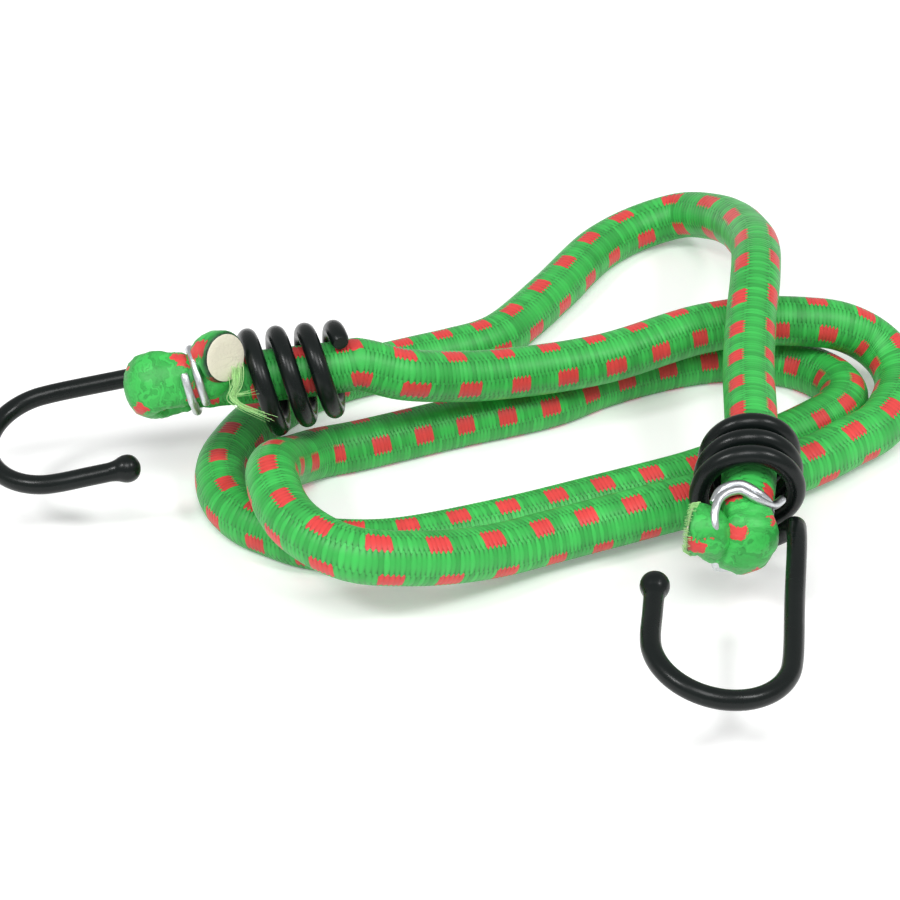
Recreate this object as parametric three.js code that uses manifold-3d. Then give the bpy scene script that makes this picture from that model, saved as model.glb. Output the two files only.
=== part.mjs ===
// An elastic luggage cord with a coated wire hook at each end, lying in loose loops.
// Millimetres, +Z up, standing on z = 0. Hook A points towards -X, hook B towards -Y.
import * as THREE from 'three';
import { mergeVertices } from 'three/addons/utils/BufferGeometryUtils.js';
import Module from 'manifold-3d';

// Driving dimensions of the cord
const cordDiameter = 8;
const sleeveWall = 1.1;
const coreGap = 0.3;
const jointGap = 0.3;                   // left between two lengths of cord that meet
const stretchLength = 60;               // length of cord that lengthens when an end is drawn out

// Driving dimensions of the hooks
const wireDiameter = 3;                 // over the plastic coat
const coatWall = 0.3;
const coatGap = 0.25;
const collarClearance = 0.42;           // between the cord and the collar's narrow end
const collarTurns = 3.28;
const collarPitch = 4.37;
const collarTaper = 1.48;               // how much wider in radius the collar is at the hook
const shankLength = 31;
const hookWidth = 19.6;                 // from the shank's centre line to the point's
const bendDepth = 10;
const pointLength = 8.8;
const tipDiameter = 4.3;
const tipLength = 3.4;

// Driving dimensions of the folded ends, where the clip presses both runs of cord flat
const neckPress = 0.65;                 // thickness of a run inside the clip, as a share of the cord's
const neckSpread = 0.97;                // its width, the same way
const knobPress = 0.72;                 // thickness and width where the cord turns back
const knobSpread = 1.06;
const pressLength = 6;                  // over which the cord narrows towards the clip
const foldGap = 0.5;                    // between the cord and its own folded tail
const clipWire = 1.2;
const clipGap = 0.25;
const clipTurns = 1.25;

// Each end: the middle of the collar's wide mouth, the way it points, and its own fold. The tail's
// stations give how far along, out of the fold, across it, and how far it has swelled out again.
const drawnDiameter = 8;                // the route and the ends were laid out for this cord
const ends = {
  a: {
    mouth: [-32.5, -4.4, 16.9],
    azimuth: 188.5,
    droop: 8.5,
    roll: -11,
    lean: 0.1,                          // how steeply the fold rises out of the collar's axis
    tailAngle: 43,
    foldAt: 13,
    clipAt: 8.3,
    clipSide: 0,                        // the wire starts on the tail's side
    tail: [[5.4, 6.3, 0.7, 0.45], [4.2, 7.5, 1.3, 0.85], [3.1, 8.9, 1.4, 1]],
  },
  b: {
    mouth: [40.3, -34.2, 14.8],
    azimuth: -96.5,
    droop: 5.5,
    roll: 172,
    lean: 0.04,
    tailAngle: 250,
    foldAt: 3.8,
    clipAt: 3.1,
    clipSide: 1,
    tail: [[1.4, 5.7, 0, 0.05]],
  },
};

// Centre line of the cord between the two collars, from end A to end B
const route = [
  [-10, -1, 16.8], [-2.5, 3, 13.9], [5.5, 6.8, 12], [21.5, 13, 11], [37.5, 21.5, 11.4], [46, 23, 12],
  [54, 23, 12], [60.5, 23.5, 10.8], [65.5, 23.5, 8.2], [68.5, 21, 6.2], [69.5, 16, 5], [67.5, 8.5, 4.7],
  [64, 2.5, 4.6], [59.5, -1.5, 4.7], [54.5, -6, 4.8], [41.5, -14.8, 5.2], [27.5, -21.5, 5.4],
  [12, -28.5, 5.4], [5, -33, 6.4], [-2.5, -38, 8.6], [-9.5, -41.5, 10.8], [-15.5, -42.5, 12],
  [-20, -40.5, 12.4], [-24.5, -36, 12.7], [-27, -31, 12.8], [-28.5, -25, 12.8], [-28.8, -17, 10.2],
  [-26.5, -7, 4.9], [-22.5, -2.5, 3.4], [-17.5, -0.5, 3.2], [-2.5, 6, 3.2], [13.5, 12.5, 3.2],
  [21.5, 18, 3.2], [30, 22.5, 3.2], [38.5, 25.5, 3.2], [45, 26, 3.2], [52.5, 24.5, 3.2], [56.5, 22, 3.2],
  [59.5, 18.5, 3.2], [60.5, 14.5, 3.2], [59, 10, 3.2], [55, 6, 3.2], [45.5, -1.5, 3.2], [36, -8, 3.2],
  [20, -15.5, 3.2], [5, -22, 3.2], [-10, -27, 3.2], [-17, -27.5, 3.2], [-23.5, -26.5, 3.2],
  [-29, -23.5, 3.2], [-33, -20.5, 3.2], [-36, -16, 3.2], [-37.5, -10.5, 3.2], [-37.5, -5, 3.2],
  [-36, 0, 3.2], [-33.5, 5.5, 3.2], [-26.5, 15, 3.2], [-20, 20, 3.2], [-10.5, 24.5, 3.2], [-2.5, 28, 3.2],
  [2.5, 30.5, 3.2], [6, 33.5, 3.2], [14.5, 47, 3.2], [23.5, 63, 3.2], [31, 70, 3.6], [38, 71, 5.4],
  [43.5, 63, 9.4], [46, 54.5, 12.6], [47, 45, 15.8], [47.3, 35, 18.8], [46, 21.5, 20.8], [44.5, 11, 19.4],
  [43.3, 0, 17.4],
];

// Facets, chosen to keep the round pieces round at a moderate triangle count
const cordSides = 8;
const coreSides = 5;
const coatSides = 8;
const wireSides = 5;
const clipSides = 6;

const cordRadius = cordDiameter / 2;
const boreRadius = cordRadius - sleeveWall;
const coreRadius = boreRadius - coreGap;
const wireRadius = wireDiameter / 2;
const coatBore = wireRadius - coatWall;
const steelRadius = coatBore - coatGap;
const collarEnd = cordRadius + collarClearance + wireRadius;
const collarMouth = collarEnd + collarTaper;
const collarLength = collarTurns * collarPitch;
const layScale = cordDiameter / drawnDiameter;

const radians = THREE.MathUtils.degToRad;

const materials = {
  braid: new THREE.MeshStandardMaterial({ color: 0x2fa84c, roughness: 0.55, metalness: 0 }),
  rubber: new THREE.MeshStandardMaterial({ color: 0xe8e0c8, roughness: 0.8, metalness: 0 }),
  coat: new THREE.MeshStandardMaterial({ color: 0x141616, roughness: 0.35, metalness: 0 }),
  steel: new THREE.MeshStandardMaterial({ color: 0x9a9c9e, roughness: 0.4, metalness: 1 }),
  zinc: new THREE.MeshStandardMaterial({ color: 0xc4c8cc, roughness: 0.35, metalness: 1 }),
};

// A length of a longer curve, between two distances along it
class Stretch extends THREE.Curve {
  constructor(path, from, to) {
    super();
    this.path = path;
    this.from = from / path.getLength();
    this.to = to / path.getLength();
  }

  getPoint(t, target = new THREE.Vector3()) {
    return this.path.getPointAt(THREE.MathUtils.lerp(this.from, this.to, t), target);
  }
}

function smoothCurve(points) {
  const curve = new THREE.CatmullRomCurve3(points, false, 'centripetal');
  curve.arcLengthDivisions = points.length * 12;
  return curve;
}

function ring(radius, sides) {
  const points = [];
  for (let i = 0; i < sides; i += 1) {
    const angle = (2 * Math.PI * i) / sides;
    points.push(new THREE.Vector2(radius * Math.cos(angle), radius * Math.sin(angle)));
  }
  return points;
}

// A solid rod or, with a bore, an open tube along a curve
function sweep(curve, radius, sides, steps, bore = 0) {
  const section = new THREE.Shape(ring(radius, sides));
  if (bore > 0) section.holes.push(new THREE.Path(ring(bore, sides)));
  return new THREE.ExtrudeGeometry(section, { steps, extrudePath: curve, bevelEnabled: false });
}

function addMesh(group, name, geometry, material) {
  const mesh = new THREE.Mesh(geometry, material);
  mesh.name = name;
  group.add(mesh);
  return mesh;
}

// Cuts away what reaches below the ground, so that the cord lies on flats
const wasm = await Module();
wasm.setup();

function cutFlat(geometry) {
  geometry.deleteAttribute('normal');
  geometry.deleteAttribute('uv');
  const merged = mergeVertices(geometry, 1e-3);
  const solid = new wasm.Manifold(new wasm.Mesh({
    numProp: 3,
    vertProperties: new Float32Array(merged.attributes.position.array),
    triVerts: new Uint32Array(merged.index.array),
  }));
  const cut = solid.trimByPlane([0, 0, 1], 0).getMesh();
  const flat = new THREE.BufferGeometry();
  flat.setAttribute('position', new THREE.BufferAttribute(new Float32Array(cut.vertProperties), 3));
  flat.setIndex(new THREE.BufferAttribute(new Uint32Array(cut.triVerts), 1));
  const faceted = flat.toNonIndexed();
  faceted.computeVertexNormals();
  return faceted;
}

// Wire of one hook in its own frame: x out of the collar, y from shank to point
function hookCurve() {
  const points = [];
  const firstTurn = 0.1;
  const stepsPerTurn = 16;
  const count = Math.round((collarTurns - firstTurn) * stepsPerTurn);
  for (let i = 0; i <= count; i += 1) {
    const turn = THREE.MathUtils.lerp(collarTurns, firstTurn, i / count);
    const radius = collarMouth - (collarTaper * turn) / collarTurns;
    const angle = 2 * Math.PI * turn;
    points.push(new THREE.Vector3(
      -collarPitch * turn,
      -radius * Math.cos(angle),
      radius * Math.sin(angle),
    ));
  }
  const corner = wireDiameter * 0.4;
  points.push(new THREE.Vector3(corner, -collarMouth * 0.985, corner));
  points.push(new THREE.Vector3(corner * 3.5, -collarMouth, 0));
  points.push(new THREE.Vector3(shankLength * 0.6, -collarMouth, 0));
  const bendSteps = 12;
  for (let i = 0; i <= bendSteps; i += 1) {
    const angle = (Math.PI * i) / bendSteps;
    points.push(new THREE.Vector3(
      shankLength + bendDepth * Math.sin(angle),
      -collarMouth + (hookWidth / 2) * (1 - Math.cos(angle)),
      0,
    ));
  }
  points.push(new THREE.Vector3(shankLength - pointLength / 2, hookWidth - collarMouth, 0));
  points.push(new THREE.Vector3(shankLength - pointLength, hookWidth - collarMouth, 0));
  return smoothCurve(points);
}

// Rounded cap on the point: its axis is the lathe's, turned to run back along the shank
function tipCap() {
  const half = tipLength / 2;
  const profile = [new THREE.Vector2(0, 0), new THREE.Vector2(wireRadius, 0)];
  const steps = 8;
  for (let i = 1; i < steps; i += 1) {
    const angle = -Math.PI / 4 + (3 * Math.PI / 4) * (i / steps);
    const bulge = (tipDiameter / 2) * Math.cos(angle);
    profile.push(new THREE.Vector2(bulge, half * (Math.SQRT1_2 + Math.sin(angle)) / (1 + Math.SQRT1_2) * 2));
  }
  profile.push(new THREE.Vector2(0, tipLength));
  return new THREE.LatheGeometry(profile, 14);
}

function buildHook(group, name) {
  const curve = hookCurve();
  const steps = Math.round(curve.getLength() / 2.9);
  addMesh(group, `${name}_coat`, sweep(curve, wireRadius, coatSides, steps, coatBore), materials.coat);
  addMesh(group, `${name}_wire`, sweep(curve, steelRadius, wireSides, steps), materials.steel);
  const tip = addMesh(group, `${name}_tip`, tipCap(), materials.coat);
  tip.position.set(shankLength - pointLength - jointGap, hookWidth - collarMouth, 0);
  tip.rotation.z = Math.PI / 2;
}

// Half thickness and half width of the cord where it is free, pressed and turned back
const free = new THREE.Vector2(cordRadius, cordRadius);
const neck = new THREE.Vector2(neckPress, neckSpread).multiplyScalar(cordRadius);
const knob = new THREE.Vector2(knobPress, knobSpread).multiplyScalar(cordRadius);
const runsApart = 2 * neck.x + foldGap;
const clipPitch = clipWire + clipGap;
const clipHalf = (clipPitch * clipTurns + clipWire) / 2;

// A place in the end's frame: x out of the collar, out towards the tail, across the fold
function foldPlace(end, along, out, across) {
  const angle = radians(end.tailAngle);
  const lift = end.lean * Math.max(0, along + collarLength);
  return new THREE.Vector3(
    along,
    out * Math.cos(angle) - across * Math.sin(angle),
    out * Math.sin(angle) + across * Math.cos(angle) + lift,
  );
}

// Folded end, from the collar's narrow end round the bend to the cut, as stations with their section
function foldStations(end) {
  const stations = [];
  const add = (along, out, across, from, to, share) => stations.push({
    place: foldPlace(end, along, out, across),
    section: from.clone().lerp(to, share),
  });
  const foldAt = end.foldAt * layScale;
  const clipBack = end.clipAt * layScale - clipHalf;
  const pressFrom = clipBack - pressLength;
  add(-collarLength - wireRadius, 0, 0, free, neck, 0);
  add(-collarLength, 0, 0, free, neck, 0);
  for (const share of [0, 0.5, 1]) add(pressFrom + pressLength * share, 0, 0, free, neck, share);
  const bend = runsApart / 2;
  const bendSteps = 8;
  for (let i = 0; i <= bendSteps; i += 1) {
    const turn = (Math.PI * i) / bendSteps;
    add(foldAt + bend * Math.sin(turn), bend * (1 - Math.cos(turn)), 0, neck, knob, Math.sin(turn));
  }
  add(clipBack, runsApart, 0, neck, free, 0);
  for (const [along, out, across, share] of end.tail) {
    add(along * layScale, out * layScale, across * layScale, neck, free, share);
  }
  return stations;
}

// Rings of points round the stations, each as far inside the cord's surface as the depth says
function foldRings(end, stations, depth, sides) {
  const rings = [];
  const normal = foldPlace({ ...end, lean: 0 }, 0, 1, 0);
  for (let i = 0; i < stations.length; i += 1) {
    const before = stations[Math.max(i - 1, 0)].place;
    const after = stations[Math.min(i + 1, stations.length - 1)].place;
    const tangent = after.clone().sub(before).normalize();
    normal.addScaledVector(tangent, -normal.dot(tangent)).normalize();
    const width = tangent.clone().cross(normal);
    const { place, section } = stations[i];
    rings.push(ring(1, sides).map(({ x, y }) => place.clone()
      .addScaledVector(normal, x * (section.x - depth))
      .addScaledVector(width, y * (section.y - depth))));
  }
  return rings;
}

// A closed skin over rings of points; inner rings, where given, make it a tube
function skin(outer, inner = null) {
  const sides = outer[0].length;
  const corners = [];
  const quad = (a, b, c, d) => corners.push(a, b, c, a, c, d);
  for (let j = 0; j < sides; j += 1) {
    const k = (j + 1) % sides;
    for (let i = 0; i + 1 < outer.length; i += 1) {
      quad(outer[i][j], outer[i][k], outer[i + 1][k], outer[i + 1][j]);
      if (inner) quad(inner[i][j], inner[i + 1][j], inner[i + 1][k], inner[i][k]);
    }
    const first = outer[0];
    const last = outer[outer.length - 1];
    if (inner) {
      quad(first[j], inner[0][j], inner[0][k], first[k]);
      quad(last[j], last[k], inner[inner.length - 1][k], inner[inner.length - 1][j]);
    } else if (j > 0 && k > 0) {
      corners.push(first[0], first[k], first[j], last[0], last[j], last[k]);
    }
  }
  const geometry = new THREE.BufferGeometry().setFromPoints(corners);
  geometry.computeVertexNormals();
  return geometry;
}

// Wire wound round the cord and its tail, in the end's frame
function clipCurve(end) {
  const lobe = neck.clone().addScalar(clipGap + clipWire / 2);
  const points = [];
  const lobeSteps = 6;
  for (let half = 0; half < 2 * clipTurns; half += 1) {
    const centre = (half + end.clipSide) % 2 === 0 ? runsApart : 0;
    const share = Math.min(1, 2 * clipTurns - half);
    for (let i = 0; i <= lobeSteps; i += 1) {
      const turn = half / 2 + (share * i) / lobeSteps / 2;
      const bearing = Math.PI * (2 * turn - 0.5 + end.clipSide);
      const along = end.clipAt * layScale + clipPitch * (turn - clipTurns / 2);
      points.push(foldPlace(end, along, centre + lobe.x * Math.cos(bearing), lobe.y * Math.sin(bearing)));
    }
  }
  return smoothCurve(points);
}

function buildEnd(name, end) {
  const group = new THREE.Group();
  group.position.fromArray(end.mouth).multiplyScalar(layScale);
  group.rotation.set(0, radians(end.droop), radians(end.azimuth), 'ZYX');
  const stations = foldStations(end);
  const sleeve = skin(
    foldRings(end, stations, 0, cordSides),
    foldRings(end, stations, sleeveWall, cordSides),
  );
  const core = skin(foldRings(end, stations, sleeveWall + coreGap, coreSides));
  addMesh(group, `end_${name}_sleeve`, sleeve, materials.braid);
  addMesh(group, `end_${name}_core`, core, materials.rubber);
  addMesh(group, `clip_${name}`, sweep(clipCurve(end), clipWire / 2, clipSides, 30), materials.zinc);
  const hook = new THREE.Group();
  hook.rotation.x = radians(end.roll);
  buildHook(hook, `hook_${name}`);
  group.add(hook);
  group.updateMatrixWorld(true);
  return group;
}

// Whole centre line: through collar A, along the route, into collar B
function layCurve(endA, endB) {
  const inside = (group, along) => new THREE.Vector3(along, 0, 0).applyMatrix4(group.matrixWorld);
  const back = -collarLength - wireRadius - jointGap;
  const points = [inside(endA, back), inside(endA, back - 2)];
  for (const point of route) points.push(new THREE.Vector3().fromArray(point).multiplyScalar(layScale));
  points.push(inside(endB, back - 2), inside(endB, back));
  return smoothCurve(points);
}

// Least free gap between strands of the cord that aren't neighbours along it
function leastGap(curve) {
  const spacing = cordDiameter / 8;
  const points = curve.getSpacedPoints(Math.round(curve.getLength() / spacing));
  let least = Infinity;
  let place = null;
  const skip = Math.round((2.2 * cordDiameter) / spacing);
  for (let i = 0; i < points.length; i += 1) {
    for (let j = i + skip; j < points.length; j += 1) {
      const gap = points[i].distanceTo(points[j]) - cordDiameter;
      if (gap < least) {
        least = gap;
        place = points[i];
      }
    }
  }
  const at = place.toArray().map((value) => value.toFixed(1)).join(', ');
  return `${least.toFixed(2)} mm near ${at}`;
}

const cord = new THREE.Group();
const endA = buildEnd('a', ends.a);
const endB = buildEnd('b', ends.b);
cord.add(endA, endB);

const lay = layCurve(endA, endB);
const layLength = lay.getLength();
const runs = {
  stretch_a: [0, stretchLength],
  cord: [stretchLength + jointGap, layLength - stretchLength - jointGap],
  stretch_b: [layLength - stretchLength, layLength],
};
for (const [name, [from, to]] of Object.entries(runs)) {
  const run = new Stretch(lay, from, to);
  const steps = Math.round((to - from) / 5);
  const sleeve = cutFlat(sweep(run, cordRadius, cordSides, steps, boreRadius));
  addMesh(cord, `${name}_sleeve`, sleeve, materials.braid);
  addMesh(cord, `${name}_core`, sweep(run, coreRadius, coreSides, steps), materials.rubber);
}

console.log(`cord between the collars ${layLength.toFixed(0)} mm, least gap to itself ${leastGap(lay)}`);

export default cord;
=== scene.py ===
"""Braided elastic cord with a coated wire hook at each end, lying in loose loops.

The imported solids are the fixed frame. Each operator below makes one kind of piece on it.
Metres, +Z up, on z = 0. End A points towards -X, end B towards -Y.
"""

import math

import bpy
import numpy as np
from bpy.props import FloatProperty, FloatVectorProperty, IntProperty, PointerProperty
from mathutils import Euler, Matrix, Vector


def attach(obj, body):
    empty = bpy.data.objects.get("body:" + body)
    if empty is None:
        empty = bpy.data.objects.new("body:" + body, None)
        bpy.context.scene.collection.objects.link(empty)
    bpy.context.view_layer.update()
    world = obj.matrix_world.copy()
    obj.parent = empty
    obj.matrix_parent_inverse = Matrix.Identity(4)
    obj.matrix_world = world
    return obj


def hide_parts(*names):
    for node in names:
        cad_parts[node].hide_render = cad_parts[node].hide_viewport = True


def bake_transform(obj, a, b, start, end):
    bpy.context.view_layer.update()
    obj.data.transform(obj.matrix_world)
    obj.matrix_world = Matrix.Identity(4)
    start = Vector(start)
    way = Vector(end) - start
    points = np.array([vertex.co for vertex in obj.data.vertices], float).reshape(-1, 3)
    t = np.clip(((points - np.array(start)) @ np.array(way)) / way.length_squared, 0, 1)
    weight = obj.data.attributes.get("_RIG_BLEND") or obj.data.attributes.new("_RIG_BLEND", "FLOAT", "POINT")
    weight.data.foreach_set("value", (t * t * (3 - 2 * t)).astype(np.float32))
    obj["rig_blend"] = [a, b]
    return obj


bl_info = {
    "name": "Hooked Elastic Cord",
    "version": (1, 0, 0),
    "blender": (4, 5, 0),
    "location": "3D View > Sidebar > Elastic Cord",
    "description": "Makes a braided elastic cord, its folded ends, clips and coated hooks",
    "category": "Object",
}

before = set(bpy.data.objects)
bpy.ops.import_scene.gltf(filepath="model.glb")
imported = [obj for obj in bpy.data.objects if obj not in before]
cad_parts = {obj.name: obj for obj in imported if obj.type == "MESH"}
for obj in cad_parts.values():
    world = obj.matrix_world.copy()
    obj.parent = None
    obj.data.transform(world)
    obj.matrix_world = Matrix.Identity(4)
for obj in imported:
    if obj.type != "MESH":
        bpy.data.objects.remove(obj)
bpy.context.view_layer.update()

# Centre line of the cord between the two collars, from end A to end B
ROUTE = [
    (-0.01, -0.001, 0.0168), (-0.0025, 0.003, 0.0139), (0.0055, 0.0068, 0.012),
    (0.0215, 0.013, 0.011), (0.0375, 0.0215, 0.0114), (0.046, 0.023, 0.012), (0.054, 0.023, 0.012),
    (0.0605, 0.0235, 0.0108), (0.0655, 0.0235, 0.0082), (0.0685, 0.021, 0.0062),
    (0.0695, 0.016, 0.005), (0.0675, 0.0085, 0.0047), (0.064, 0.0025, 0.0046),
    (0.0595, -0.0015, 0.0047), (0.0545, -0.006, 0.0048), (0.0415, -0.0148, 0.0052),
    (0.0275, -0.0215, 0.0054), (0.012, -0.0285, 0.0054), (0.005, -0.033, 0.0064),
    (-0.0025, -0.038, 0.0086), (-0.0095, -0.0415, 0.0108), (-0.0155, -0.0425, 0.012),
    (-0.02, -0.0405, 0.0124), (-0.0245, -0.036, 0.0127), (-0.027, -0.031, 0.0128),
    (-0.0285, -0.025, 0.0128), (-0.0288, -0.017, 0.0102), (-0.0265, -0.007, 0.0049),
    (-0.0225, -0.0025, 0.0034), (-0.0175, -0.0005, 0.0032), (-0.0025, 0.006, 0.0032),
    (0.0135, 0.0125, 0.0032), (0.0215, 0.018, 0.0032), (0.03, 0.0225, 0.0032),
    (0.0385, 0.0255, 0.0032), (0.045, 0.026, 0.0032), (0.0525, 0.0245, 0.0032),
    (0.0565, 0.022, 0.0032), (0.0595, 0.0185, 0.0032), (0.0605, 0.0145, 0.0032),
    (0.059, 0.01, 0.0032), (0.055, 0.006, 0.0032), (0.0455, -0.0015, 0.0032),
    (0.036, -0.008, 0.0032), (0.02, -0.0155, 0.0032), (0.005, -0.022, 0.0032),
    (-0.01, -0.027, 0.0032), (-0.017, -0.0275, 0.0032), (-0.0235, -0.0265, 0.0032),
    (-0.029, -0.0235, 0.0032), (-0.033, -0.0205, 0.0032), (-0.036, -0.016, 0.0032),
    (-0.0375, -0.0105, 0.0032), (-0.0375, -0.005, 0.0032), (-0.036, 0.0, 0.0032),
    (-0.0335, 0.0055, 0.0032), (-0.0265, 0.015, 0.0032), (-0.02, 0.02, 0.0032),
    (-0.0105, 0.0245, 0.0032), (-0.0025, 0.028, 0.0032), (0.0025, 0.0305, 0.0032),
    (0.006, 0.0335, 0.0032), (0.0145, 0.047, 0.0032), (0.0235, 0.063, 0.0032),
    (0.031, 0.07, 0.0036), (0.038, 0.071, 0.0054), (0.0435, 0.063, 0.0094),
    (0.046, 0.0545, 0.0126), (0.047, 0.045, 0.0158), (0.0473, 0.035, 0.0188),
    (0.046, 0.0215, 0.0208), (0.0445, 0.011, 0.0194), (0.0433, 0.0, 0.0174),
]

# Each end: the middle of the collar's wide mouth, the way it points, how far the cord sags behind it, and its
# own fold. Neck and knob are shares of the cord, in the fold's plane and across it. A place is how far along,
# out of the fold and across it. A tail's stations add how far the cord has swelled out again, a fray's locks
# how many threads they have.
ENDS = {
    "a": {
        "mouth": (-0.0325, -0.0044, 0.0169), "azimuth": 188.5, "droop": 8.5, "roll": -11, "lean": 0.1,
        "sag": 0.0009, "tail_angle": 43, "fold_at": 0.013, "fold_turn": 180, "skew": 0.0,
        "neck": (0.65, 0.97), "knob": (0.8, 1.18),
        "tail": (
            (0.0054, 0.0063, 0.0014, 0.45), (0.0042, 0.0076, 0.0022, 0.9), (0.0029, 0.0091, 0.0016, 1.12)),
        "clip_at": 0.0083, "clip_pitch": 0.0019, "clip": (),
        "fringe": 0,
        "fray": (
            (44, (0.0020, 0.0058, 0.0018), (0.0019, 0.0080, -0.0008), (0.0023, 0.0096, -0.0030),
             (0.0032, 0.0100, -0.0046), (0.0020, 0.0102, -0.0062), (-0.0026, 0.0094, -0.0088)),
            (14, (0.0016, 0.0060, 0.0006), (0.0020, 0.0092, -0.0026), (0.0030, 0.0098, -0.0042),
             (0.0010, 0.0098, -0.0042), (-0.0014, 0.0094, -0.0038)),
        ),
    },
    "b": {
        "mouth": (0.0403, -0.0342, 0.0148), "azimuth": -96.5, "droop": 5.5, "roll": 172, "lean": 0.04,
        "sag": 0.0, "tail_angle": 250, "fold_at": 0.0022, "fold_turn": 125, "skew": 0.0014,
        "neck": (0.75, 0.95), "knob": (0.82, 1.12),
        "tail": (
            (0.0050, 0.0047, -0.0026, 0.2), (0.0058, 0.0030, -0.0050, 0.7), (0.0055, 0.0036, -0.0071, 0.95)),
        "clip_at": 0.0026, "clip_pitch": 0.0014,
        "clip": (
            (-0.0015, -0.0018, 0.0047), (0.0004, -0.0016, 0.0035), (0.0022, -0.0026, 0.0018),
            (0.0028, -0.0034, -0.0002), (0.0021, -0.0033, -0.0025), (0.0036, -0.0023, -0.0048),
            (0.0060, -0.0012, -0.0053), (0.0078, 0.0003, -0.0046), (0.0080, 0.0030, -0.0028),
            (0.0074, 0.0060, -0.0020), (0.0056, 0.0086, -0.0008), (0.0034, 0.0086, 0.0022),
            (0.0020, 0.0050, 0.0044), (0.0012, 0.0008, 0.0036), (0.0014, -0.0022, 0.0024),
            (0.0015, -0.0035, 0.0000), (0.0008, -0.0034, -0.0025), (0.0022, -0.0023, -0.0050),
            (0.0046, -0.0013, -0.0057),
        ),
        "fringe": 420,
        "fray": (),
    },
}

# How the pattern lies: from the collar at end A along the cord, the turn of its rows, the spots passed
PATTERN = [
    (-0.046, -17, -7), (-0.038, -14, -5.97), (-0.030, -42, -4.93), (-0.0158, -17, -2.9), (0.0065, -17, 0),
    (0.0255, -28, 2), (0.0575, -42, 6), (0.081, -34, 9.2), (0.094, -12, 11), (0.131, -18, 15),
    (0.178, -18, 21), (0.1972, -21, 23), (0.2055, -20, 24), (0.2132, -17, 25), (0.230, -16, 27),
    (0.244, 2, 28.5), (0.257, -6, 30), (0.307, -7, 37), (0.347, -11, 42), (0.364, -24, 45),
    (0.404, 3, 50), (0.443, 10, 55), (0.482, 14, 60), (0.5195, 13, 64.9), (0.541, 20, 68),
    (0.579, 15, 72), (0.603, 14, 74), (0.636, 20, 76), (0.655, 9, 78), (0.683, 12, 82),
    (0.7038, 8, 83.9), (0.7068, 8, 84.95), (0.716, 8, 86.5),
]
SPOT_MIDDLE = 2  # the float in the middle of a spot

# Bead on a hook's point: shares of its length and of its thickness
BEAD = (
    (-0.5, 0.66), (-0.2, 0.715), (0.0, 0.79), (0.15, 0.9), (0.35, 1.0), (0.55, 0.99), (0.73, 0.88),
    (0.87, 0.66), (0.95, 0.42), (0.99, 0.18), (1.0, 0.005))

# Cut face of the rubber: how far it stands out of the cut, and its share of the rubber's thickness
FACE = ((0.00002, 0.985), (0.0001, 0.93), (0.00012, 0.65), (0.00014, 0.3), (0.00015, 0.002))

# Lamps: name, place, how wide, share of the stage's lamp power
LAMPS = (
    ("lamp_left", (-0.6, -0.4, 0.8), 0.24, 0.9), ("lamp_right", (0.6, -0.3, 0.8), 0.24, 0.8),
    ("lamp_front", (0.0, -0.6, 0.95), 0.5, 1.2))

# Each kind of rod: faces round it, and metres from point to point of its line
SIDES = {"rubber": 36, "thread": 6, "clip": 20, "coat": 28, "steel": 12}
STEPS = {"rubber": 0.0005, "thread": 0.0003, "clip": 0.0003, "coat": 0.0004}

# Small values that the sidebar leaves alone, lengths in metres
COLLAR_LEAD = 0.002  # cord that leaves a collar straight
HALF_TURN_STOPS = 9  # stations round half a turn
KNOB_START = 0.6  # how much of the knob is there where the fold starts
RIM_LENGTH, RIM_DROP = 0.001, 0.0009  # over which a cut end rounds in, and how far
CALM_LENGTH = 0.002  # over which the lumps die out towards a cut
CUT_DARK_LENGTH = 0.0012  # over which the yarn is darker towards a cut
RUBBER_INSET = 0.0006  # rubber inside the pressed braid
SWELL_LENGTH = 0.003  # over which the rubber swells towards the cut
THREAD = (0.00003, 0.00006)  # thinnest and thickest loose yarn, from its middle
THREAD_TIP = 0.5  # share of a thread left at its tip
FRAY_SEED = 3  # of the loose yarn at end A, one more at end B
CUT_ROUND = (0.8, 0.93, 0.98)  # shares of a hook's wire at its cut
CLIP_NIP = 0.8  # share of a clip's wire at its cuts
NO_LENGTH = 1e-9  # stands for the distance of two equal points


def length(name, description, default):
    """A length that the sidebar shows in the scene's units."""
    return FloatProperty(
        name=name, description=description, default=default, min=0, precision=5, unit="LENGTH")


def ratio(name, description, default):
    """A plain number."""
    return FloatProperty(name=name, description=description, default=default, min=0)


def count(name, description, default, least):
    """A whole number."""
    return IntProperty(name=name, description=description, default=default, min=least)


def colour(name, description, default):
    """A linear colour with a swatch."""
    return FloatVectorProperty(
        name=name, description=description, default=(*default, 1), size=4, min=0, max=1, subtype="COLOR")


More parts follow.
